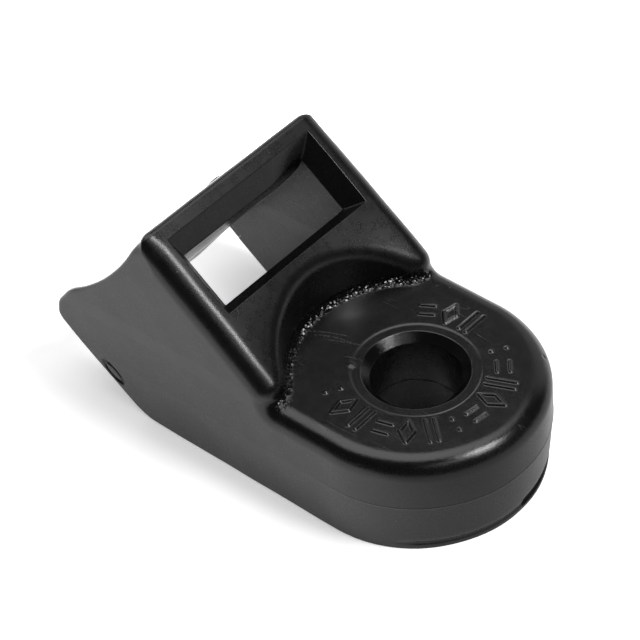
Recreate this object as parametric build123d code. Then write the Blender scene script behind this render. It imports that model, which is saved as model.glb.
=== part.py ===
from build123d import *
import os
from math import cos, radians, sin, sqrt, tan

# Bolt-down cable-tie mount with a bundle saddle, moulded in one piece.
# Frame: origin on the bolt axis at the base face, +X towards the nose, +Z up, millimetres.
# Places on the arm are given as s, up its front slanted face, and d, the depth behind that face.

# ---- driving dimensions ----
WIDTH = 26.0  # over the parting line
LUG_HEIGHT = 11.2  # base face to the washer seat
PARTING_HEIGHT = 5.8
DRAFT_UPPER = 1.5  # degrees, walls above the parting line
DRAFT_LOWER = 2.0  # degrees, walls below it

SLOPE_ANGLE = 36.8  # degrees, both slanted faces against the base
SLOPE_FOOT_X = -5.1  # where the front slanted face meets the lug's top
ARM_THICKNESS = 20.8  # between the two slanted faces
FOOT_STEP_X = -7.45  # low upright step at the arm's foot, beside the head clearance
FOOT_STEP_RADIUS = 2.1

SADDLE_RADIUS = 27.0  # the bundle's bed, its axis across the arm
SADDLE_LOW_S = 21.4
SADDLE_LOW_D = 6.2
HORN_TOP_S = 23.2  # the rear horn, which stops the bundle
HORN_RADIUS = 2.0
HORN_CREST_RADIUS = 5.0
HEEL_RADIUS = 5.0

SLOT_WIDTH = 17.3  # passage for the tie, at its throat
SLOT_LOW_S = 12.05
SLOT_REAR_LOW_S = 11.3  # the passage opens towards the rear
CEILING_RADIUS = 70.0  # the passage's ceiling follows the bed above it
CEILING_LOW_S = 18.06
CEILING_LOW_D = 6.6
MOUTH_DEPTH = 1.9  # flared mouth of the passage in the front face
MOUTH_WIDTH = 20.2
MOUTH_LOW_S = 11.2
MOUTH_HIGH_S = 20.2
RELIEF_WIDTH = 17.7  # channel for the strap over the rear horn
RELIEF_DEPTH = 1.0

BORE_RADIUS = 4.4
BORE_CHAMFER_RADIUS = 5.3
BORE_CHAMFER_DEPTH = 0.85
SEAT_RING_RADIUS = 6.25
SEAT_RING_DEPTH = 0.12

HEAD_RADIUS = 12.35  # clearance round a washer and a socket, at the lug's top
HEAD_DRAFT = 6.0  # degrees
HEAD_FLOOR_FILLET = 0.65
TOP_EDGE_RADIUS = 2.0
EDGE_RADIUS = 0.7  # crest, bed, horn, rear face and base

GATE_RADIUS = 1.9  # scar of the injection gate, low on one side by the rear face
GATE_DEPTH = 0.25
GATE_S = 14.3

REACH = 60.0  # longer than the part, for cutting bodies
NEAR = 0.02  # tolerance for picking edges

slope = radians(SLOPE_ANGLE)
half_width = WIDTH / 2
saddle_centre_s = SADDLE_LOW_S + SADDLE_RADIUS


def slope_point(s, d):
    """X and Z of a point s up the front slanted face and d behind it."""
    x = SLOPE_FOOT_X - s * cos(slope) - d * sin(slope)
    z = LUG_HEIGHT + s * sin(slope) - d * cos(slope)
    return (x, z)


def slope_coordinates(point):
    """The s and d of a point."""
    back = SLOPE_FOOT_X - point.X
    up = point.Z - LUG_HEIGHT
    return (back * cos(slope) + up * sin(slope), back * sin(slope) - up * cos(slope))


def slope_plane(s, d):
    """Plane parallel to the slanted faces: x across the part, y up the slope, z out of the front face."""
    x, z = slope_point(s, d)
    return Plane(origin=(x, 0, z), x_dir=(0, 1, 0), z_dir=(sin(slope), 0, cos(slope)))


def saddle_s(d):
    """Height along the slope of the bundle's bed at depth d."""
    return saddle_centre_s - sqrt(SADDLE_RADIUS**2 - (d - SADDLE_LOW_D) ** 2)


def ceiling_s(d):
    """Height along the slope of the passage's ceiling at depth d."""
    return CEILING_LOW_S + CEILING_RADIUS - sqrt(CEILING_RADIUS**2 - (d - CEILING_LOW_D) ** 2)


def drafted_walls():
    """Block with the outline seen from above, drafted away from the parting line both ways."""
    strip = Pos(-REACH / 2, 0) * Rectangle(REACH, WIDTH)
    outline = Pos(0, 0, PARTING_HEIGHT) * (strip + Circle(half_width))
    upper = extrude(outline, amount=REACH / 2, taper=DRAFT_UPPER)
    lower = extrude(outline, amount=-PARTING_HEIGHT, taper=DRAFT_LOWER)
    return upper + lower


def side_profile():
    """Outline seen from the side, with rounded horn and heel."""
    heel_s = (ARM_THICKNESS * cos(slope) - LUG_HEIGHT) / sin(slope)
    horn_d = SADDLE_LOW_D + sqrt(SADDLE_RADIUS**2 - (saddle_centre_s - HORN_TOP_S) ** 2)
    crest = slope_point(saddle_s(0), 0)
    bed = slope_point(SADDLE_LOW_S, SADDLE_LOW_D)
    horn = slope_point(HORN_TOP_S, horn_d)
    horn_back = slope_point(HORN_TOP_S, ARM_THICKNESS)
    heel = slope_point(heel_s, ARM_THICKNESS)
    rim = (FOOT_STEP_X, LUG_HEIGHT + (SLOPE_FOOT_X - FOOT_STEP_X) * tan(slope))
    foot = (FOOT_STEP_X, LUG_HEIGHT)
    edges = Polyline(crest, rim, foot, (WIDTH, LUG_HEIGHT), (WIDTH, 0), heel, horn_back, horn)
    edges += ThreePointArc(horn, bed, crest)
    face = make_face(edges)
    rounded = (
        (horn_back, HORN_RADIUS),
        (horn, HORN_CREST_RADIUS),
        (heel, HEEL_RADIUS),
        (rim, FOOT_STEP_RADIUS),
        (foot, HEAD_FLOOR_FILLET),
    )
    for point, radius in rounded:
        corner = face.vertices().sort_by_distance((point[0], point[1], 0))[0]
        face = fillet(corner, radius)
    return Plane.XZ * face


def middle(edge):
    return edge.position_at(0.5)


def is_top_edge(edge):
    """Side edges of the front slanted face, the step at its foot and the lug's top, round its nose."""
    for fraction in (0, 0.5, 1):
        point = edge.position_at(fraction)
        depth = slope_coordinates(point)[1]
        on_lug = abs(point.Z - LUG_HEIGHT) < NEAR and point.X > FOOT_STEP_X
        on_slope = abs(depth) < NEAR and point.X < FOOT_STEP_X
        on_step = abs(point.X - FOOT_STEP_X) < FOOT_STEP_RADIUS and point.Z > LUG_HEIGHT - NEAR and depth < 2
        if not (on_lug or on_slope or on_step):
            return False
    return abs(middle(edge).Y) > NEAR or middle(edge).X > half_width / 2


def is_saddle_edge(edge):
    """The crest and both side edges of the bed, the horn and the rear slanted face."""
    s, d = slope_coordinates(middle(edge))
    at_side = abs(middle(edge).Y) > half_width - TOP_EDGE_RADIUS
    on_crest = abs(d) < NEAR and s > SADDLE_LOW_S
    on_bed = at_side and d > NEAR and s > SADDLE_LOW_S - NEAR and edge.length > 3 * NEAR
    on_rear = at_side and abs(d - ARM_THICKNESS) < 0.2 and middle(edge).Z > 1
    on_horn = at_side and d > ARM_THICKNESS - 2 * HORN_RADIUS and s > HORN_TOP_S - 2 * HORN_RADIUS
    on_corner = edge.geom_type == GeomType.BSPLINE and s > SADDLE_LOW_S - 1
    return on_crest or on_bed or on_rear or on_horn or on_corner


def moulded_block():
    """The mount's outside, before anything is cut into it."""
    block = drafted_walls() & extrude(side_profile(), amount=REACH / 2, both=True)
    block = fillet(block.edges().filter_by(is_top_edge), TOP_EDGE_RADIUS)
    block = fillet(block.edges().filter_by(is_saddle_edge), EDGE_RADIUS)
    return block


def slope_rectangle(width, low_s, high_s, d):
    """Rectangle parallel to the slanted faces, at depth d."""
    return slope_plane((low_s + high_s) / 2, d) * Rectangle(width, high_s - low_s)


def tie_passage():
    """Slot for the tie, straight through the arm under a curved ceiling."""
    start = MOUTH_DEPTH - NEAR
    end = ARM_THICKNESS + 1
    front_low = slope_point(SLOT_LOW_S, start)
    front_high = slope_point(ceiling_s(start), start)
    ceiling = slope_point(CEILING_LOW_S, CEILING_LOW_D)
    rear_high = slope_point(ceiling_s(end), end)
    rear_low = slope_point(SLOT_REAR_LOW_S, end)
    edges = Polyline(rear_high, rear_low, front_low, front_high)
    edges += ThreePointArc(front_high, ceiling, rear_high)
    return extrude(Plane.XZ * make_face(edges), amount=SLOT_WIDTH / 2, both=True)


def passage_mouth():
    """Flared mouth of the passage, run out past the front face."""
    run_out = 0.5
    grow = 1 + run_out / MOUTH_DEPTH
    throat_high = ceiling_s(MOUTH_DEPTH)
    width = SLOT_WIDTH + (MOUTH_WIDTH - SLOT_WIDTH) * grow
    low = SLOT_LOW_S - (SLOT_LOW_S - MOUTH_LOW_S) * grow
    high = throat_high + (MOUTH_HIGH_S - throat_high) * grow
    outside = slope_rectangle(width, low, high, -run_out)
    throat = slope_rectangle(SLOT_WIDTH, SLOT_LOW_S, throat_high, MOUTH_DEPTH)
    return loft([outside, throat])


def strap_relief():
    """Shallow channel from the passage's rear end up and over the horn."""
    start_s = ceiling_s(ARM_THICKNESS) - NEAR
    floor_d = ARM_THICKNESS - RELIEF_DEPTH
    floor_s = HORN_TOP_S - RELIEF_DEPTH
    clear = 2 * HORN_RADIUS
    corners = (
        (start_s, floor_d),
        (floor_s, floor_d),
        (floor_s, SADDLE_LOW_D + clear),
        (HORN_TOP_S + clear, SADDLE_LOW_D + clear),
        (HORN_TOP_S + clear, ARM_THICKNESS + clear),
        (start_s, ARM_THICKNESS + clear),
    )
    face = make_face(Polyline([slope_point(s, d) for s, d in corners], close=True))
    x, z = slope_point(floor_s, floor_d)
    tip = face.vertices().sort_by_distance((x, z, 0))[0]
    face = fillet(tip, HORN_RADIUS)
    return extrude(Plane.XZ * face, amount=RELIEF_WIDTH / 2, both=True)


def head_clearance():
    """Round recess in the foot of the arm, with a rounded floor corner."""
    top = LUG_HEIGHT + REACH / 2
    wall_top = HEAD_RADIUS + REACH / 2 * tan(radians(HEAD_DRAFT))
    floor_corner = (HEAD_RADIUS, LUG_HEIGHT)
    face = make_face(Polyline((0, LUG_HEIGHT), floor_corner, (wall_top, top), (0, top), close=True))
    corner = face.vertices().sort_by_distance((floor_corner[0], floor_corner[1], 0))[0]
    face = fillet(corner, HEAD_FLOOR_FILLET)
    return revolve(Plane.XZ * face, Axis.Z)


def bolt_bore():
    """Bolt hole with a chamfered rim inside a shallow seat ring."""
    ring_floor = LUG_HEIGHT - SEAT_RING_DEPTH
    above = LUG_HEIGHT + 1
    outline = Polyline(
        (0, -1),
        (BORE_RADIUS, -1),
        (BORE_RADIUS, ring_floor - BORE_CHAMFER_DEPTH),
        (BORE_CHAMFER_RADIUS, ring_floor),
        (SEAT_RING_RADIUS, ring_floor),
        (SEAT_RING_RADIUS, above),
        (0, above),
        close=True,
    )
    return revolve(Plane.XZ * make_face(outline), Axis.Z)


def gate_scar():
    """Shallow round scar at the rear edge of the side wall."""
    x, z = slope_point(GATE_S, ARM_THICKNESS)
    wall = half_width - (PARTING_HEIGHT - z) * tan(radians(DRAFT_LOWER))
    disc = Cylinder(GATE_RADIUS, 2 * GATE_DEPTH, rotation=(90, 0, 0))
    return Pos(x, -wall, z) * disc


def mount_body():
    body = moulded_block()
    body -= head_clearance()
    body -= tie_passage() + passage_mouth()
    body -= strap_relief()
    body -= bolt_bore()
    body -= gate_scar()
    return body


os.makedirs("parts", exist_ok=True)
body = mount_body()
export_step(body, "parts/mount_body.step")
print("mount_body", round(body.volume, 1), "mm3", body.bounding_box())
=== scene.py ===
"""Bolt-down cable-tie mount, moulded in black nylon, on a white sweep.

The object is one moulding. Its shape is worked out in millimetres as a signed distance whose zero is the
surface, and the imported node's mesh, remeshed finely, is drawn onto that surface.
Places on the arm are given as s, up its front slanted face, and d, the depth behind that face.
"""

import math

import bmesh
import bpy
import numpy as np
from mathutils import Matrix, Vector


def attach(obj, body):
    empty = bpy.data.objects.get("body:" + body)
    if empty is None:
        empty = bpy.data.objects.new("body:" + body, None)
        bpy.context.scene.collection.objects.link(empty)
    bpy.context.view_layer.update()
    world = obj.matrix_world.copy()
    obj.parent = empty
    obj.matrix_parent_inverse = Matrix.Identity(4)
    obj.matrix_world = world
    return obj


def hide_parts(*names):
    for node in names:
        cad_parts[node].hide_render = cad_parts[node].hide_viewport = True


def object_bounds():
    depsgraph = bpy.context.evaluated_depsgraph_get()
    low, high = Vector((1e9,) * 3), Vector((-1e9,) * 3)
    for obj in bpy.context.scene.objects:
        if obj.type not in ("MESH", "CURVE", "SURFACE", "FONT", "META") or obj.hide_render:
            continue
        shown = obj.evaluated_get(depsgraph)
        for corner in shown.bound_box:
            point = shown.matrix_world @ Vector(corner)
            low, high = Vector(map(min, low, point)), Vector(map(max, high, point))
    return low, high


MM = 0.001

# ---- the moulding, mm and degrees ----
HALF_WIDTH = 13.0
LUG_HEIGHT = 11.2
PARTING_HEIGHT = 5.8
DRAFT_UPPER = math.radians(1.5)
DRAFT_LOWER = math.radians(2.0)
DRAFT_NOSE_MORE = math.radians(2.2)
SLOPE = math.radians(36.8)
SLOPE_FOOT_X = -5.1
ARM_THICKNESS = 20.6
FOOT_STEP_X = -7.45
FOOT_CORNER_RADIUS = 2.5

SADDLE_RADIUS = 27.0
SADDLE_LOW_S = 21.4
SADDLE_LOW_D = 6.2
HORN_TOP_S = 23.3
HORN_RADIUS = 1.9
HORN_CREST_RADIUS = 5.0
HEEL_RADIUS = 5.0

SLOT_HALF_WIDTH = 8.65
SLOT_LOW_S = 12.05
SLOT_FLOOR_FALL = 0.0397
CEILING_RADIUS = 70.0
CEILING_LOW_S = 18.06
CEILING_LOW_D = 6.6
BELL_RADIUS = 4.93  # the ceiling curves up towards the mouth
BELL_DEPTH = 4.0
MOUTH_HIGH_S = 20.2
FLARE_DEPTH = 1.35  # the flare above the passage ends lower than in the far corner
FLARE_LOW_S = 18.14
MOUTH_DEPTH = 1.9
MOUTH_HALF_WIDTH = 10.1
MOUTH_LOW_S = 11.2
RELIEF_HALF_WIDTH = 8.85
RELIEF_DEPTH = 1.05

BORE_RADIUS = 4.4
CHAMFER_RADIUS = 5.3
CHAMFER_DEPTH = 0.85
SEAT_RING_RADIUS = 6.25
SEAT_RING_DEPTH = 0.06
SEAT_RING_WIDTH = 0.16
BORE_FLASH_Z = 5.4
BORE_FLASH_HEIGHT = 0.05

HEAD_RADIUS = 12.35
HEAD_DRAFT = math.radians(6.0)
HEAD_RIM_RADIUS = 1.7
RIM_DROOP = 0.28  # the front face falls away towards the rim of the head clearance
RIM_DROOP_REACH = 4.0
HEAD_FLOOR_FILLET = 0.9

TOP_EDGE_RADIUS = 2.0
EDGE_RADIUS = 0.7
BED_EDGE_RADIUS = 0.4
SHARP_EDGE_RADIUS = 0.09
SMALL_RADIUS = 0.12
MOUTH_EDGE_RADIUS = 0.05
REAR_MOUTH_RADIUS = 0.8
NEAR_CORNER_RADIUS = 1.5  # corners at the ends of the crest
FAR_CORNER_RADIUS = 2.0
CREST_START = 0.5  # depths behind the front face between which the corners fade out
NEAR_CREST_END = 3.0
FAR_CREST_END = 6.0
CHANNEL_EDGE_RADIUS = 0.2
CHANNEL_RIM_RADIUS = 0.25
BORE_EDGE_RADIUS = 0.12
BORE_RIM_RADIUS = 0.15
PARTING_FLASH = 0.03

GATE_S = 14.3  # scar of the injection gate, on the side wall by the rear face
GATE_D = 19.6
GATE_HALF_LENGTH = 1.55
GATE_HALF_WIDTH = 0.65
GATE_GROOVE = 0.2
GATE_ROUGHNESS = 0.02
NICK_ANGLE = math.radians(48)  # a small dent in the nose's top edge
NICK_RADIUS = 0.45
NICK_DEPTH = 0.25
NICK_INSET = 0.5  # from the nose's wall, and from the lug's top

# Cosines of the angles between the normals where two faces meet.
HORN_COSINE = 0.93
CREST_COSINE = -0.23
FLARE_COSINE = 0.6
MOUTH_COSINE = 0.6
CHANNEL_COSINE = 0.5
CHAMFER_COSINE = 0.7
BORE_RIM_COSINE = 0.69

# ---- raised marks round the bolt hole, mm and degrees ----
MARK_RING_RADIUS = 8.25
MARK_HEIGHT = 0.17
MARK_HALF_WIDTH = 0.3
MARK_TALL = 1.4
MARK_WIDE = 0.7
MARK_STEP = 16.2
MARKS_START = -122.0
MARKS = (
    "dots", "diamond", "bars", "rungs", "diamond", "bars", "dots", "rungs",
    "diamond", "bars", "rungs", "dots", "", "bars", "diamond", "rungs",
)

# Fine scratches on the lug's top, as arcs: middle x and y, radius, half width, first and last angle.
SCUFFS = (
    (-2.0, -14.0, 14.0, 0.12, 104, 124),
    (-3.5, -13.0, 13.4, 0.1, 106, 130),
    (-6.0, -9.0, 8.2, 0.14, 96, 128),
    (2.0, -20.0, 19.2, 0.1, 108, 120),
)
ROUGH_START = (-7.4, -11.2)  # a roughened place where the lug's near edge starts

# Blemishes of the lug's top: place x and y, width, height. The first is a sink mark, the second a chip.
BLEMISHES = (
    (-9.2, 1.4, 1.1, -0.16),
    (-5.22, -3.28, 0.22, 0.12),
)

VOXEL = 0.18
WAVE_HEIGHT = 0.014
WAVE_COUNT = 14
WAVE_SEED = 7
WAVE_LENGTHS = (3.5, 9.0)

# ---- material ----
NYLON_BLACK = (0.0042, 0.0042, 0.0044, 1)
DUST_GREY = (0.16, 0.16, 0.16, 1)
NYLON_IOR = 1.53
GRAIN_DEPTH = 0.02
CHATTER_PER_MM = 5.5  # facets of the rough tool marks, and how far they lean
CHATTER_LEAN = 0.8

# ---- stage, metres and degrees ----
CAMERA_PLACE = Vector((110.558, -131.834, 178.767)) * MM
CAMERA_AZIMUTH = -47.10
CAMERA_ELEVATION = 43.03
CAMERA_ROLL = -3.87
CAMERA_LENS = 142.8

FLOOR_REACH = 3.0
FLOOR_WHITE = 0.9
# painted shade: the floor's white by the nose, seen only in reflections, a painted shadow on the floor in
# front
FLOOR_WHITE_IN_PAINTED_SHADE = 0.6
FLOOR_FILL_NEAR = 0.3  # light that the translucent sweep gives off itself by the arm
FLOOR_GLARE = 6.0  # the overexposed part behind the saddle
FLOOR_GLARE_PLACE = (-0.08, 0.033, 0.0)
FLOOR_EXPOSURE = 0.38  # what the camera sees on top, as a photograph on white is exposed

# Small lamps: name, azimuth, elevation, size, radiance.
LAMP_DISTANCE = 0.9
LAMPS = (
    ("key", 21, 57, (0.25, 0.22), 22.0),
    ("halo", 11, 45, (0.22, 0.2), 8.0),
    ("spill", -8, 52.5, (0.75, 0.08), 3.0),
)
OVERHEAD_PLACE = (-0.29, 0.09, 1.0)
OVERHEAD_SIZE = (0.92, 1.5)
OVERHEAD_RADIANCE = 2.15
OVERHEAD_SPIN = -45

# Glows of the room: azimuth, elevation, inner and outer angle, radiance.
RIGHT_WALL = (108, 12, 24, 38, 0.55)
SWEEP = (162, 0, 28, 40, 1.8)
ROOM_RADIANCE = 0.018

sin_slope, cos_slope = math.sin(SLOPE), math.cos(SLOPE)


# ---- distances ----
def rounded_max(a, b, radius, cosine=0.0):
    """The larger of two distances, its edge rounded. cosine is that of the angle between the two normals."""
    u = a + radius
    v = b + radius
    spread = 1 - cosine**2
    along_a = (u - cosine * v) / spread
    along_b = (v - cosine * u) / spread
    square = along_a**2 + along_b**2 + 2 * cosine * along_a * along_b
    rounded = np.sqrt(np.maximum(square, 0)) - radius
    return np.where((along_a > 0) & (along_b > 0), rounded, np.maximum(a, b))


def rounded_min(a, b, radius, cosine=0.0):
    return -rounded_max(-a, -b, radius, cosine)


def smoothstep(low, high, value):
    t = np.clip((value - low) / (high - low), 0, 1)
    return t * t * (3 - 2 * t)


def slope_coordinates(x, z):
    """The s and d of points."""
    back = SLOPE_FOOT_X - x
    up = z - LUG_HEIGHT
    return back * cos_slope + up * sin_slope, back * sin_slope - up * cos_slope


def walls(x, y, z):
    """Side walls and nose, drafted away from the parting line."""
    reach = np.where(x > 0, np.hypot(x, y), np.abs(y)) - HALF_WIDTH
    upper = (reach + (z - PARTING_HEIGHT) * math.tan(DRAFT_UPPER)) * math.cos(DRAFT_UPPER)
    lower_draft = DRAFT_LOWER + DRAFT_NOSE_MORE * smoothstep(4, HALF_WIDTH, x)
    lower = (reach + (PARTING_HEIGHT - z) * np.tan(lower_draft)) * np.cos(lower_draft)
    flash = smoothstep(0.12, 0, np.abs(z - PARTING_HEIGHT)) * smoothstep(-4, 4, x)
    return np.maximum(upper, lower) - PARTING_FLASH * flash + gate_scar(x, y, z)


def front(x, y, z, d):
    """Lug top and the arm's front slanted face, with the head clearance in its foot."""
    radius = np.hypot(x, y)
    clearance = HEAD_RADIUS + (z - LUG_HEIGHT) * math.tan(HEAD_DRAFT) - radius
    step = x - FOOT_STEP_X
    towards_nose = -x / np.maximum(radius, 1)
    foot = rounded_max(clearance, step, FOOT_CORNER_RADIUS, np.clip(towards_nose, -0.9, 0.9))
    flat_share = smoothstep(-0.5, 0.5, step - clearance)
    facing = towards_nose * (1 - flat_share) + flat_share
    droop = RIM_DROOP * np.clip(1 + foot / RIM_DROOP_REACH, 0, 1) ** 2
    arm = rounded_max(droop - d, foot, HEAD_RIM_RADIUS, np.clip(facing * sin_slope, -0.9, 0.9))
    return rounded_min(arm, z - lug_top(x, y), HEAD_FLOOR_FILLET, math.sin(HEAD_DRAFT))


def segment_distance(u, v, start, end):
    """Distance in the plane from points to the line between two points."""
    run_u, run_v = end[0] - start[0], end[1] - start[1]
    along = ((u - start[0]) * run_u + (v - start[1]) * run_v) / (run_u**2 + run_v**2)
    along = np.clip(along, 0, 1)
    return np.hypot(u - start[0] - along * run_u, v - start[1] - along * run_v)


def mark_strokes(kind):
    """Ends of a mark's strokes, across and outward of its middle."""
    wide, tall = MARK_WIDE, MARK_TALL
    if kind == "bars":
        return [((side * wide * 0.6, -tall), (side * wide * 0.6, tall)) for side in (-1, 1)]
    if kind == "rungs":
        return [((-wide, side * tall * 0.45), (wide, side * tall * 0.45)) for side in (-1, 1)]
    if kind == "dots":
        return [((0, place * tall - 0.05), (0, place * tall + 0.05)) for place in (-0.55, 0.55)]
    corners = [(0, -tall), (wide, 0), (0, tall), (-wide, 0)]
    return list(zip(corners, corners[1:] + corners[:1]))


def marks(x, y):
    """Height of the generic raised marks, rounded ridges along their strokes."""
    nearest = np.full(len(x), 9.0)
    for place, kind in enumerate(MARKS):
        if kind == "":
            continue
        angle = math.radians(MARKS_START + place * MARK_STEP)
        out = x * math.cos(angle) + y * math.sin(angle) - MARK_RING_RADIUS
        across = -x * math.sin(angle) + y * math.cos(angle)
        close = (np.abs(out) < 2) & (np.abs(across) < 1.5)
        for start, end in mark_strokes(kind):
            gap = segment_distance(across[close], out[close], start, end)
            nearest[close] = np.minimum(nearest[close], gap)
    return MARK_HEIGHT * (1 - smoothstep(0, MARK_HALF_WIDTH, nearest))


def lug_top(x, y):
    """Height of the lug's top, with the shallow seat ring, the blemishes and the raised marks."""
    radius = np.hypot(x, y)
    ring = 1 - smoothstep(SEAT_RING_RADIUS - SEAT_RING_WIDTH, SEAT_RING_RADIUS + SEAT_RING_WIDTH, radius)
    top = LUG_HEIGHT - SEAT_RING_DEPTH * ring
    for place_x, place_y, width, height in BLEMISHES:
        square = (x - place_x) ** 2 + (y - place_y) ** 2
        top += height * np.exp(-square / (2 * width**2))
    marked = (radius > SEAT_RING_RADIUS) & (radius < HEAD_RADIUS - TOP_EDGE_RADIUS)
    top[marked] += marks(x[marked], y[marked])
    return top


def block(x, y, z):
    """The outside, before the passage, the strap channel and the bore."""
    s, d = slope_coordinates(x, z)
    bed = SADDLE_RADIUS - np.hypot(s - SADDLE_LOW_S - SADDLE_RADIUS, d - SADDLE_LOW_D)
    back = d - ARM_THICKNESS
    horn = rounded_max(s - HORN_TOP_S, bed, HORN_CREST_RADIUS, HORN_COSINE)
    horn = rounded_max(horn, back, HORN_RADIUS)
    face = front(x, y, z, d)
    profile = rounded_max(horn, face, EDGE_RADIUS, CREST_COSINE)
    profile = rounded_max(profile, -z, HEEL_RADIUS, cos_slope)
    others = np.maximum(np.maximum(horn, back), -z)
    far = y > 0
    near_crest = 1 - smoothstep(CREST_START, np.where(far, FAR_CREST_END, NEAR_CREST_END), d)
    corner = np.where(far, FAR_CORNER_RADIUS, NEAR_CORNER_RADIUS)
    bed_edge = BED_EDGE_RADIUS + (corner - BED_EDGE_RADIUS) * near_crest
    by_rear = smoothstep(-0.9, -0.2, np.maximum(back, -z))
    low_edge = bed_edge + (SHARP_EDGE_RADIUS - bed_edge) * by_rear
    edge = low_edge + (TOP_EDGE_RADIUS - low_edge) * smoothstep(0, 1 + 1.5 * near_crest, face - others)
    return rounded_max(profile, walls(x, y, z), edge)


def ceiling(y, d):
    """Height s of the passage's ceiling: it curves up to the flare, most in the far corner."""
    run = np.clip(d - BELL_DEPTH, -4.6, 0)
    along = np.maximum(d, BELL_DEPTH) - CEILING_LOW_D
    bell = CEILING_LOW_S + CEILING_RADIUS - np.sqrt(CEILING_RADIUS**2 - along**2)
    bell += BELL_RADIUS - np.sqrt(BELL_RADIUS**2 - run**2)
    corner = smoothstep(3.0, SLOT_HALF_WIDTH, y)
    return np.minimum(bell, FLARE_LOW_S + np.maximum(bell - FLARE_LOW_S, 0) * corner)


def passage(x, y, z):
    """The space of the tie passage, negative inside it."""
    s, d = slope_coordinates(x, z)
    across = np.abs(y)
    side_flare = (MOUTH_HALF_WIDTH - SLOT_HALF_WIDTH) / MOUTH_DEPTH
    side_cosine = 1 / math.hypot(1, side_flare)
    flared = (across - MOUTH_HALF_WIDTH + d * side_flare) * side_cosine
    sides = rounded_min(across - SLOT_HALF_WIDTH, flared, SMALL_RADIUS, side_cosine)
    sill_flare = (SLOT_LOW_S - MOUTH_LOW_S) / MOUTH_DEPTH
    sill_cosine = 1 / math.hypot(1, sill_flare)
    sill = (MOUTH_LOW_S + d * sill_flare - s) * sill_cosine
    floor = SLOT_LOW_S - (d - MOUTH_DEPTH) * SLOT_FLOOR_FALL - s
    bottom = rounded_min(floor, sill, SMALL_RADIUS, sill_cosine)
    high_flare = (MOUTH_HIGH_S - ceiling(y, FLARE_DEPTH)) / FLARE_DEPTH
    flared_top = (s - MOUTH_HIGH_S + d * high_flare) / np.hypot(1, high_flare)
    above = rounded_min(s - ceiling(y, np.maximum(d, FLARE_DEPTH)), flared_top, SMALL_RADIUS, FLARE_COSINE)
    return rounded_max(rounded_max(sides, bottom, SMALL_RADIUS), above, SMALL_RADIUS)


def strap_channel(x, y, z):
    """The space of the shallow channel over the horn, negative inside it."""
    s, d = slope_coordinates(x, z)
    floor = rounded_max(d - ARM_THICKNESS + RELIEF_DEPTH, s - HORN_TOP_S + RELIEF_DEPTH, HORN_RADIUS)
    space = rounded_max(np.abs(y) - RELIEF_HALF_WIDTH, -floor, CHANNEL_EDGE_RADIUS)
    return np.maximum(space, CEILING_LOW_S - 1 - s)


def bore(x, y, z):
    """Wall of the bolt hole with its chamfer and ragged flash line, positive inside the hole."""
    radius = np.hypot(x, y)
    angle = np.arctan2(y, x)
    line = BORE_FLASH_Z + 0.08 * np.sin(3 * angle) + 0.04 * np.sin(11 * angle)
    ragged = 0.6 + 0.4 * np.sin(17 * angle) * np.sin(29 * angle + 1)
    flash = BORE_FLASH_HEIGHT * ragged * smoothstep(0.14, 0, np.abs(z - line))
    rise = (CHAMFER_RADIUS - BORE_RADIUS) / CHAMFER_DEPTH
    cone = CHAMFER_RADIUS - (LUG_HEIGHT - SEAT_RING_DEPTH - z) * rise - radius
    wall = BORE_RADIUS - flash - radius
    return rounded_max(wall, cone / math.hypot(1, rise), BORE_EDGE_RADIUS, CHAMFER_COSINE)


def gate_scar(x, y, z):
    """Depth of the gate scar in the near side wall: a lens with a groove round it and a rough middle."""
    s, d = slope_coordinates(x, z)
    reach = np.hypot((s - GATE_S) / GATE_HALF_LENGTH, (d - GATE_D) / GATE_HALF_WIDTH)
    groove = GATE_GROOVE * smoothstep(0.3, 0.0, np.abs(reach - 0.9))
    rough = GATE_ROUGHNESS * (1 + np.sin(9 * x + 2 * z) * np.sin(7 * z - 3 * x)) * (reach < 0.9)
    return (groove + rough) * (y < 0) * (reach < 1.3)


def nick(x, y, z):
    """Depth of the small dent in the nose's top edge."""
    edge = HALF_WIDTH - NICK_INSET
    from_x = x - edge * math.cos(NICK_ANGLE)
    from_y = y - edge * math.sin(NICK_ANGLE)
    from_z = z - LUG_HEIGHT + NICK_INSET
    gap = np.sqrt(from_x**2 + from_y**2 + from_z**2)
    return NICK_DEPTH * (1 - smoothstep(0, NICK_RADIUS, gap))


def waves(x, y, z):
    """Slight sink and waviness of the moulded skin."""
    draw = np.random.default_rng(WAVE_SEED)
    height = np.zeros(len(x))
    for _ in range(WAVE_COUNT):
        direction = draw.normal(size=3)
        direction /= np.linalg.norm(direction)
        rate = 2 * math.pi / draw.uniform(*WAVE_LENGTHS)
        along = x * direction[0] + y * direction[1] + z * direction[2]
        height += np.sin(along * rate + draw.uniform(0, 6.28))
    return WAVE_HEIGHT * height / math.sqrt(WAVE_COUNT)


def moulding(points):
    """Signed distance of the whole moulding."""
    x, y, z = points.T
    d = slope_coordinates(x, z)[1]
    shape = block(x, y, z) + waves(x, y, z) + nick(x, y, z)
    in_front = d < ARM_THICKNESS / 2
    mouth_radius = np.where(in_front, MOUTH_EDGE_RADIUS, REAR_MOUTH_RADIUS)
    shape = rounded_max(shape, -passage(x, y, z), mouth_radius, np.where(in_front, MOUTH_COSINE, 0.0))
    shape = rounded_max(shape, -strap_channel(x, y, z), CHANNEL_RIM_RADIUS, CHANNEL_COSINE)
    rim_cosine = np.where(z > LUG_HEIGHT / 2, BORE_RIM_COSINE, 0.0)
    return rounded_max(shape, bore(x, y, z), BORE_RIM_RADIUS, rim_cosine)


def value_and_slopes(shape, points, step=0.004):
    """A distance and its slope along each axis."""
    value = shape(points)
    slopes = np.empty_like(points)
    for axis in range(3):
        shifted = points.copy()
        shifted[:, axis] += step
        slopes[:, axis] = (shape(shifted) - value) / step
    return value, slopes


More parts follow.
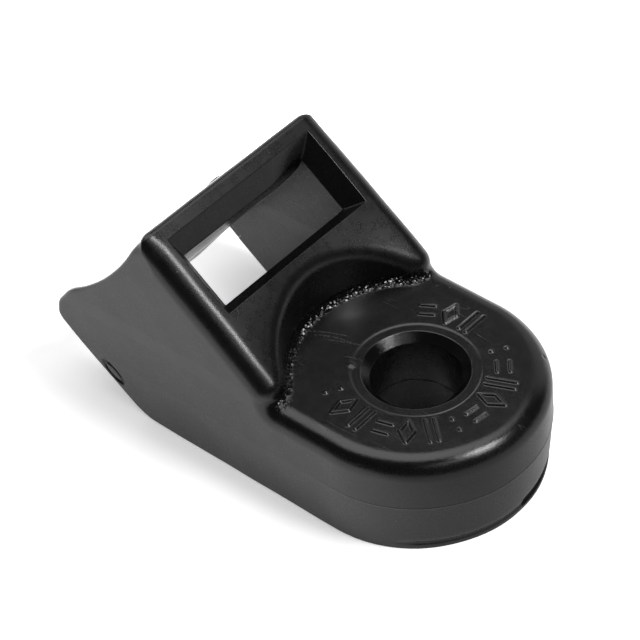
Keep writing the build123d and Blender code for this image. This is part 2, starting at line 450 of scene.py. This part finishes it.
# ---- mesh work ----
def remeshed(node, voxel):
    """A closed even mesh of a CAD node, in millimetres."""
    source = node.data.copy()
    source.transform(Matrix.Scale(1 / MM, 4))
    holder = bpy.data.objects.new("remesh_source", source)
    bpy.context.scene.collection.objects.link(holder)
    modifier = holder.modifiers.new("remesh", "REMESH")
    modifier.mode = "VOXEL"
    modifier.voxel_size = voxel
    bpy.context.view_layer.update()
    graph = bpy.context.evaluated_depsgraph_get()
    mesh = bpy.data.meshes.new_from_object(holder.evaluated_get(graph))
    bpy.data.objects.remove(holder)
    return mesh


def vertices_of(mesh):
    flat = np.zeros(len(mesh.vertices) * 3)
    mesh.vertices.foreach_get("co", flat)
    return flat.reshape(-1, 3)


def edges_of(mesh):
    flat = np.zeros(len(mesh.edges) * 2, np.int32)
    mesh.edges.foreach_get("vertices", flat)
    return flat.reshape(-1, 2)


def draw_on(mesh, shape, rounds, relax):
    """Moves the mesh's vertices onto the zero of shape, evening them out along the surface between rounds."""
    points = vertices_of(mesh)
    first, second = edges_of(mesh).T
    count = np.bincount(first, minlength=len(points)) + np.bincount(second, minlength=len(points))
    for turn in range(rounds):
        value, slopes = value_and_slopes(shape, points)
        size = np.maximum((slopes**2).sum(1), 0.05)
        move = -(value / size)[:, None] * slopes
        length = np.linalg.norm(move, axis=1, keepdims=True)
        points = points + move * np.minimum(1, VOXEL / np.maximum(length, 1e-9))
        if turn < rounds - 2:
            total = np.stack(
                [
                    np.bincount(first, points[second, k], len(points))
                    + np.bincount(second, points[first, k], len(points))
                    for k in range(3)
                ],
                1,
            )
            drift = total / count[:, None] - points
            normal = slopes / np.linalg.norm(slopes, axis=1, keepdims=True)
            drift -= (drift * normal).sum(1, keepdims=True) * normal
            points = points + relax * drift
    mesh.vertices.foreach_set("co", points.ravel())
    mesh.update()
    return points


def refine(mesh, shape, bend, always=None):
    """Splits the faces across which the surface turns by more than bend degrees.

    It also splits those that always() names.
    """
    points = vertices_of(mesh)
    normals = value_and_slopes(shape, points)[1]
    normals /= np.linalg.norm(normals, axis=1, keepdims=True)
    first, second = edges_of(mesh).T
    turned = (normals[first] * normals[second]).sum(1) < math.cos(math.radians(bend))
    if always is not None:
        turned |= always(*((points[first] + points[second]) / 2).T)
    marked = np.zeros(len(points), bool)
    marked[first[turned]] = True
    marked[second[turned]] = True
    work = bmesh.new()
    work.from_mesh(mesh)
    edges = set()
    for face in work.faces:
        if any(marked[vertex.index] for vertex in face.verts):
            edges.update(face.edges)
    bmesh.ops.subdivide_edges(work, edges=list(edges), cuts=1, use_grid_fill=True)
    work.to_mesh(mesh)
    work.free()


def in_mark_ring(x, y, z):
    radius = np.hypot(x, y)
    return (z > LUG_HEIGHT - 0.5) & (radius > CHAMFER_RADIUS - 0.2) & (radius < HEAD_RADIUS - TOP_EDGE_RADIUS)


def make_moulding(node):
    mesh = remeshed(node, VOXEL)
    draw_on(mesh, moulding, 8, 0.5)
    refine(mesh, moulding, 9, in_mark_ring)
    draw_on(mesh, moulding, 5, 0.4)
    refine(mesh, moulding, 12)
    points = draw_on(mesh, moulding, 3, 0.3)
    paint_zones(mesh, points)
    mesh.transform(Matrix.Scale(MM, 4))
    mesh.shade_smooth()
    mesh.name = "mount_moulding"
    piece = bpy.data.objects.new("mount_moulding", mesh)
    bpy.context.scene.collection.objects.link(piece)
    return piece


# ---- material ----
class Shading:
    """Small helper that adds nodes to a material and links them."""

    def __init__(self, name):
        self.material = bpy.data.materials.new(name)
        self.material.use_nodes = True
        self.tree = self.material.node_tree
        self.shader = self.tree.nodes["Principled BSDF"]

    def node(self, kind, inputs, **settings):
        node = self.tree.nodes.new(kind)
        for name, value in settings.items():
            setattr(node, name, value)
        for name, value in inputs.items():
            self.feed(node.inputs[name], value)
        return node

    def feed(self, socket, value):
        if isinstance(value, bpy.types.NodeSocket):
            self.tree.links.new(value, socket)
        else:
            socket.default_value = value

    def math(self, operation, *values):
        return self.node("ShaderNodeMath", dict(enumerate(values)), operation=operation).outputs[0]

    def ramp(self, value, low, high, start=0.0, end=1.0):
        """Smooth step of a value from start at low to end at high."""
        inputs = {"Value": value, "From Min": low, "From Max": high, "To Min": start, "To Max": end}
        return self.node("ShaderNodeMapRange", inputs, interpolation_type="SMOOTHSTEP").outputs["Result"]

    def noise(self, place, per_mm, detail=3.0, roughness=0.55):
        inputs = {"Vector": place, "Scale": per_mm, "Detail": detail, "Roughness": roughness}
        return self.node("ShaderNodeTexNoise", inputs).outputs["Fac"]

    def vector_math(self, operation, inputs):
        return self.node("ShaderNodeVectorMath", inputs, operation=operation).outputs["Vector"]

    def distance(self, place, centre):
        measure = self.node("ShaderNodeVectorMath", {0: place, 1: centre}, operation="DISTANCE")
        return measure.outputs["Value"]

    def attribute(self, name):
        return self.node("ShaderNodeAttribute", {}, attribute_name=name).outputs["Fac"]

    def turned(self, place, rotation, scale):
        inputs = {"Vector": place, "Rotation": rotation, "Scale": scale}
        return self.node("ShaderNodeMapping", inputs).outputs["Vector"]


def hairlines(shading, place, turn, half_width):
    """Long thin curved scratches: contour lines of a stretched noise, kept in a few patches."""
    stretched = shading.turned(place, turn, (0.12, 1.0, 1.0))
    field = shading.noise(stretched, 0.55, detail=1.0)
    line = shading.math("ABSOLUTE", shading.math("SUBTRACT", field, 0.5))
    line = shading.ramp(line, 0.0, half_width, 1.0, 0.0)
    patch = shading.ramp(shading.noise(shading.turned(place, turn, (0.5, 1.0, 1.0)), 0.35), 0.56, 0.68)
    return shading.math("MULTIPLY", line, patch)


def specks(shading, place, per_mm, share, size):
    """Scattered small dots: cells of a share that is picked at random."""
    cells = shading.node("ShaderNodeTexVoronoi", {"Vector": place, "Scale": per_mm}, feature="F1")
    picked = shading.node("ShaderNodeSeparateColor", {"Color": cells.outputs["Color"]}).outputs["Red"]
    picked = shading.math("LESS_THAN", picked, share)
    dot = shading.ramp(cells.outputs["Distance"], size * 0.6, size, 1.0, 0.0)
    return shading.math("MULTIPLY", dot, picked)


def black_nylon():
    """Satin black nylon: fine grain, uneven gloss, hairlines, scuffs, tool marks and a little dust."""
    shading = Shading("black_nylon")
    coordinates = shading.node("ShaderNodeTexCoord", {}).outputs["Object"]
    place = shading.turned(coordinates, (0, 0, 0), (1 / MM, 1 / MM, 1 / MM))
    polish = shading.attribute("polish")
    scuffed = shading.attribute("scuff")
    chatter = shading.attribute("chatter")

    fine = shading.noise(place, 7.0, 4.0, 0.65)
    coarse = shading.noise(place, 0.8, 3.0)
    lines = shading.math("MAXIMUM", hairlines(shading, place, (0.3, 0.2, 0.6), 0.004),
                         hairlines(shading, place, (1.1, 0.5, -0.9), 0.003))
    dust = specks(shading, place, 1.1, 0.06, 0.08)
    scuffed = shading.math("MULTIPLY", scuffed, shading.ramp(fine, 0.44, 0.56))
    marked = shading.math("MAXIMUM", lines, scuffed)

    light_share = shading.math("ADD", shading.math("MULTIPLY", marked, 0.22), dust)
    light_share = shading.math("MINIMUM", light_share, 1.0)
    colour = shading.node("ShaderNodeMix", {}, data_type="RGBA")
    shading.feed(colour.inputs[0], light_share)
    colour.inputs[6].default_value = NYLON_BLACK
    colour.inputs[7].default_value = DUST_GREY
    shading.feed(shading.shader.inputs["Base Color"], colour.outputs[2])

    gloss = shading.ramp(coarse, 0.3, 0.7, 0.27, 0.31)
    gloss = shading.math("SUBTRACT", gloss, shading.math("MULTIPLY", chatter, 0.1))
    gloss = shading.math("SUBTRACT", gloss, shading.math("MULTIPLY", polish, 0.1))
    gloss = shading.math("ADD", gloss, shading.math("MULTIPLY", marked, 0.12))
    gloss = shading.math("ADD", gloss, shading.ramp(fine, 0.35, 0.65, -0.02, 0.02))
    shading.feed(shading.shader.inputs["Roughness"], gloss)
    shading.shader.inputs["IOR"].default_value = NYLON_IOR

    skin = shading.math("MULTIPLY", fine, shading.math("ADD", shading.math("MULTIPLY", polish, 0.25), 0.45))
    skin = shading.math("ADD", skin, shading.math("MULTIPLY", coarse, 0.2))
    skin = shading.math("SUBTRACT", skin, shading.math("MULTIPLY", marked, 0.15))
    bump = shading.node("ShaderNodeBump", {"Height": skin, "Strength": 1.0, "Distance": GRAIN_DEPTH * MM})
    facets = shading.node("ShaderNodeTexVoronoi", {"Vector": place, "Scale": CHATTER_PER_MM}, feature="F1")
    tilt = shading.vector_math("SUBTRACT", {0: facets.outputs["Color"], 1: (0.5, 0.5, 0.5)})
    lean = shading.math("MULTIPLY", chatter, CHATTER_LEAN)
    tilt = shading.vector_math("SCALE", {0: tilt, "Scale": lean})
    tilted = shading.vector_math("ADD", {0: bump.outputs["Normal"], 1: tilt})
    normal = shading.vector_math("NORMALIZE", {0: tilted})
    shading.feed(shading.shader.inputs["Normal"], normal)
    return shading.material


def paint(mesh, name, values):
    """Stores one value for each vertex, for the material to read."""
    layer = mesh.attributes.new(name, "FLOAT", "POINT")
    layer.data.foreach_set("value", values.astype(np.float32))


def paint_zones(mesh, points):
    """Marks the polished lug top and chamfer, the scuffs, and the tool marks by the head clearance."""
    x, y, z = points.T
    radius = np.hypot(x, y)
    above_wall = smoothstep(LUG_HEIGHT - 1.0, LUG_HEIGHT - 0.2, z)
    on_lug = above_wall * smoothstep(LUG_HEIGHT + 1.2, LUG_HEIGHT + 0.6, z)
    by_bore = smoothstep(CHAMFER_RADIUS + 0.1, CHAMFER_RADIUS, radius)
    on_chamfer = by_bore * smoothstep(0.9, 0.8, LUG_HEIGHT - z)
    paint(mesh, "polish", np.maximum(on_lug, 2 * on_chamfer))
    foot = smoothstep(LUG_HEIGHT, LUG_HEIGHT + 0.05, z) * smoothstep(LUG_HEIGHT + 1.1, LUG_HEIGHT + 0.7, z)
    by_wall = smoothstep(1.1, 0.8, np.abs(radius - HEAD_RADIUS)) * (np.abs(y) < HALF_WIDTH - 1) * (x < 0)
    from_start = np.sqrt((x - ROUGH_START[0]) ** 2 + (y - ROUGH_START[1]) ** 2)
    start = 0.7 * smoothstep(1.5, 0.5, from_start) * (z > LUG_HEIGHT - 1.2) * (z < LUG_HEIGHT + 0.2)
    paint(mesh, "chatter", np.maximum(foot * by_wall, start))
    scuff = np.zeros(len(x))
    for middle_x, middle_y, reach, width, start, end in SCUFFS:
        gap = np.abs(np.hypot(x - middle_x, y - middle_y) - reach)
        angle = np.degrees(np.arctan2(y - middle_y, x - middle_x))
        along = smoothstep(start, start + 6, angle) * smoothstep(end, end - 6, angle)
        scuff = np.maximum(scuff, (1 - smoothstep(0.4 * width, width, gap)) * along)
    paint(mesh, "scuff", scuff * on_lug)


# ---- stage ----
def make_camera():
    """Long lens from the front right, above."""
    back = direction(CAMERA_AZIMUTH, CAMERA_ELEVATION)
    roll = math.radians(CAMERA_ROLL)
    data = bpy.data.cameras.new("camera")
    data.lens = CAMERA_LENS
    data.sensor_width = 36.0
    data.clip_start = 0.01
    data.clip_end = 10.0
    camera = bpy.data.objects.new("camera", data)
    bpy.context.scene.collection.objects.link(camera)
    turn = back.to_track_quat("Z", "Y").to_matrix().to_4x4() @ Matrix.Rotation(roll, 4, "Z")
    camera.matrix_world = Matrix.Translation(CAMERA_PLACE) @ turn
    bpy.context.scene.camera = camera


def make_floor(low):
    """White sweep that gives off light of its own.

    It lights the object weakly by the arm, strongly from a patch behind the saddle, and not at all by the
    nose or in the hole. By the nose it is also greyer in what the object reflects: painted shade, a painted
    shadow on the floor in front of the nose. The camera sees it brighter than it lights the object:
    from FLOOR_EXPOSURE by the arm to twice that by the nose.
    """
    data = bpy.data.meshes.new("floor")
    reach = FLOOR_REACH
    corners = [(-reach, -reach, low), (reach, -reach, low), (reach, reach, low), (-reach, reach, low)]
    data.from_pydata(corners, [], [(0, 1, 2, 3)])
    floor = bpy.data.objects.new("floor", data)
    bpy.context.scene.collection.objects.link(floor)
    shading = Shading("floor_white")
    place = shading.node("ShaderNodeTexCoord", {}).outputs["Object"]
    to_camera = shading.node("ShaderNodeLightPath", {}).outputs["Is Camera Ray"]
    forward = shading.node("ShaderNodeSeparateXYZ", {0: place}).outputs["X"]
    from_bore = shading.distance(place, (0.0, 0.0, 0.0))
    from_glare = shading.distance(place, FLOOR_GLARE_PLACE)

    near = shading.ramp(forward, 0.002, 0.022, FLOOR_FILL_NEAR, 0.0)
    glare = shading.ramp(from_glare, 0.03, 0.045, FLOOR_GLARE, 0.0)
    fill = shading.math("MULTIPLY", shading.math("ADD", near, glare), shading.ramp(from_bore, 0.005, 0.007))
    seen = shading.ramp(forward, 0.0, 0.012, FLOOR_EXPOSURE, 2 * FLOOR_EXPOSURE)
    fill = shading.math("MAXIMUM", fill, shading.math("MULTIPLY", to_camera, seen))
    shading.feed(shading.shader.inputs["Emission Strength"], fill)

    # painted shade: the floor is greyer by the nose in reflections, while the camera sees it white
    white = shading.ramp(forward, 0.002, 0.022, FLOOR_WHITE, FLOOR_WHITE_IN_PAINTED_SHADE)
    white = shading.math("MAXIMUM", white, shading.math("MULTIPLY", to_camera, FLOOR_WHITE))
    shading.feed(shading.shader.inputs["Base Color"], white)
    shading.shader.inputs["Emission Color"].default_value = (1, 1, 1, 1)
    shading.shader.inputs["Roughness"].default_value = 0.9
    shading.shader.inputs["Specular IOR Level"].default_value = 0.0
    data.materials.append(shading.material)


def direction(azimuth, elevation):
    """Unit vector towards an azimuth from +X to +Y and an elevation, in degrees."""
    azimuth, elevation = math.radians(azimuth), math.radians(elevation)
    level = math.cos(elevation)
    return Vector((level * math.cos(azimuth), level * math.sin(azimuth), math.sin(elevation)))


def make_softbox(name, place, size, radiance, spin=0.0, level=False):
    """Oval area light of a given radiance, facing the origin or straight down."""
    data = bpy.data.lights.new(name, "AREA")
    data.shape = "ELLIPSE"
    data.size, data.size_y = size
    data.energy = radiance * math.pi * size[0] * size[1] * math.pi / 4
    light = bpy.data.objects.new(name, data)
    bpy.context.scene.collection.objects.link(light)
    back = Vector((0, 0, 1)) if level else Vector(place)
    turn = back.to_track_quat("Z", "Y").to_matrix().to_4x4() @ Matrix.Rotation(math.radians(spin), 4, "Z")
    light.matrix_world = Matrix.Translation(Vector(place)) @ turn


def make_world():
    """A dark room in front, a grey wall on the right and a bright sweep behind.

    Where the camera looks past the floor it is white.
    """
    world = bpy.data.worlds.new("studio")
    world.use_nodes = True
    nodes, links = world.node_tree.nodes, world.node_tree.links
    background = nodes["Background"]
    place = nodes.new("ShaderNodeTexCoord")

    def glow(azimuth, elevation, inner, outer, radiance):
        """Light that fades out between two angles from a direction, in degrees."""
        towards = nodes.new("ShaderNodeVectorMath")
        towards.operation = "DOT_PRODUCT"
        towards.inputs[1].default_value = direction(azimuth, elevation)
        links.new(place.outputs["Generated"], towards.inputs[0])
        fade = nodes.new("ShaderNodeMapRange")
        fade.interpolation_type = "SMOOTHSTEP"
        fade.inputs["From Min"].default_value = math.cos(math.radians(outer))
        fade.inputs["From Max"].default_value = math.cos(math.radians(inner))
        fade.inputs["To Min"].default_value = 0.0
        fade.inputs["To Max"].default_value = radiance
        links.new(towards.outputs["Value"], fade.inputs["Value"])
        return fade.outputs["Result"]

    def total(first, second):
        add = nodes.new("ShaderNodeMath")
        add.operation = "ADD"
        links.new(first, add.inputs[0])
        if isinstance(second, float):
            add.inputs[1].default_value = second
        else:
            links.new(second, add.inputs[1])
        return add.outputs["Value"]

    light = total(total(glow(*RIGHT_WALL), glow(*SWEEP)), ROOM_RADIANCE)
    path = nodes.new("ShaderNodeLightPath")
    seen = nodes.new("ShaderNodeMix")
    links.new(path.outputs["Is Camera Ray"], seen.inputs["Factor"])
    links.new(light, seen.inputs["A"])
    seen.inputs["B"].default_value = 1.0
    links.new(seen.outputs["Result"], background.inputs["Strength"])
    background.inputs["Color"].default_value = (1, 1, 1, 1)
    bpy.context.scene.world = world


def make_light():
    make_world()
    make_softbox("overhead", OVERHEAD_PLACE, OVERHEAD_SIZE, OVERHEAD_RADIANCE, OVERHEAD_SPIN, level=True)
    for name, azimuth, elevation, size, radiance in LAMPS:
        make_softbox(name, direction(azimuth, elevation) * LAMP_DISTANCE, size, radiance)


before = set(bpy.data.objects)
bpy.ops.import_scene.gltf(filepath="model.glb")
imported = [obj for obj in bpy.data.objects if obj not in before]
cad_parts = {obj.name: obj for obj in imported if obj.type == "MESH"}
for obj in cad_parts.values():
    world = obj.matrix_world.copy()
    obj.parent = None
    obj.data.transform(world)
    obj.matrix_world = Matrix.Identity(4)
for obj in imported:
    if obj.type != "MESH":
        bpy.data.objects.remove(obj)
cad_low, cad_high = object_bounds()
bpy.context.scene.view_settings.view_transform = "Standard"

make_camera()
make_floor(cad_low.z)
make_light()

mount = make_moulding(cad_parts["mount_body"])
mount.data.materials.clear()
mount.data.materials.append(black_nylon())
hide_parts("mount_body")
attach(mount, "root")
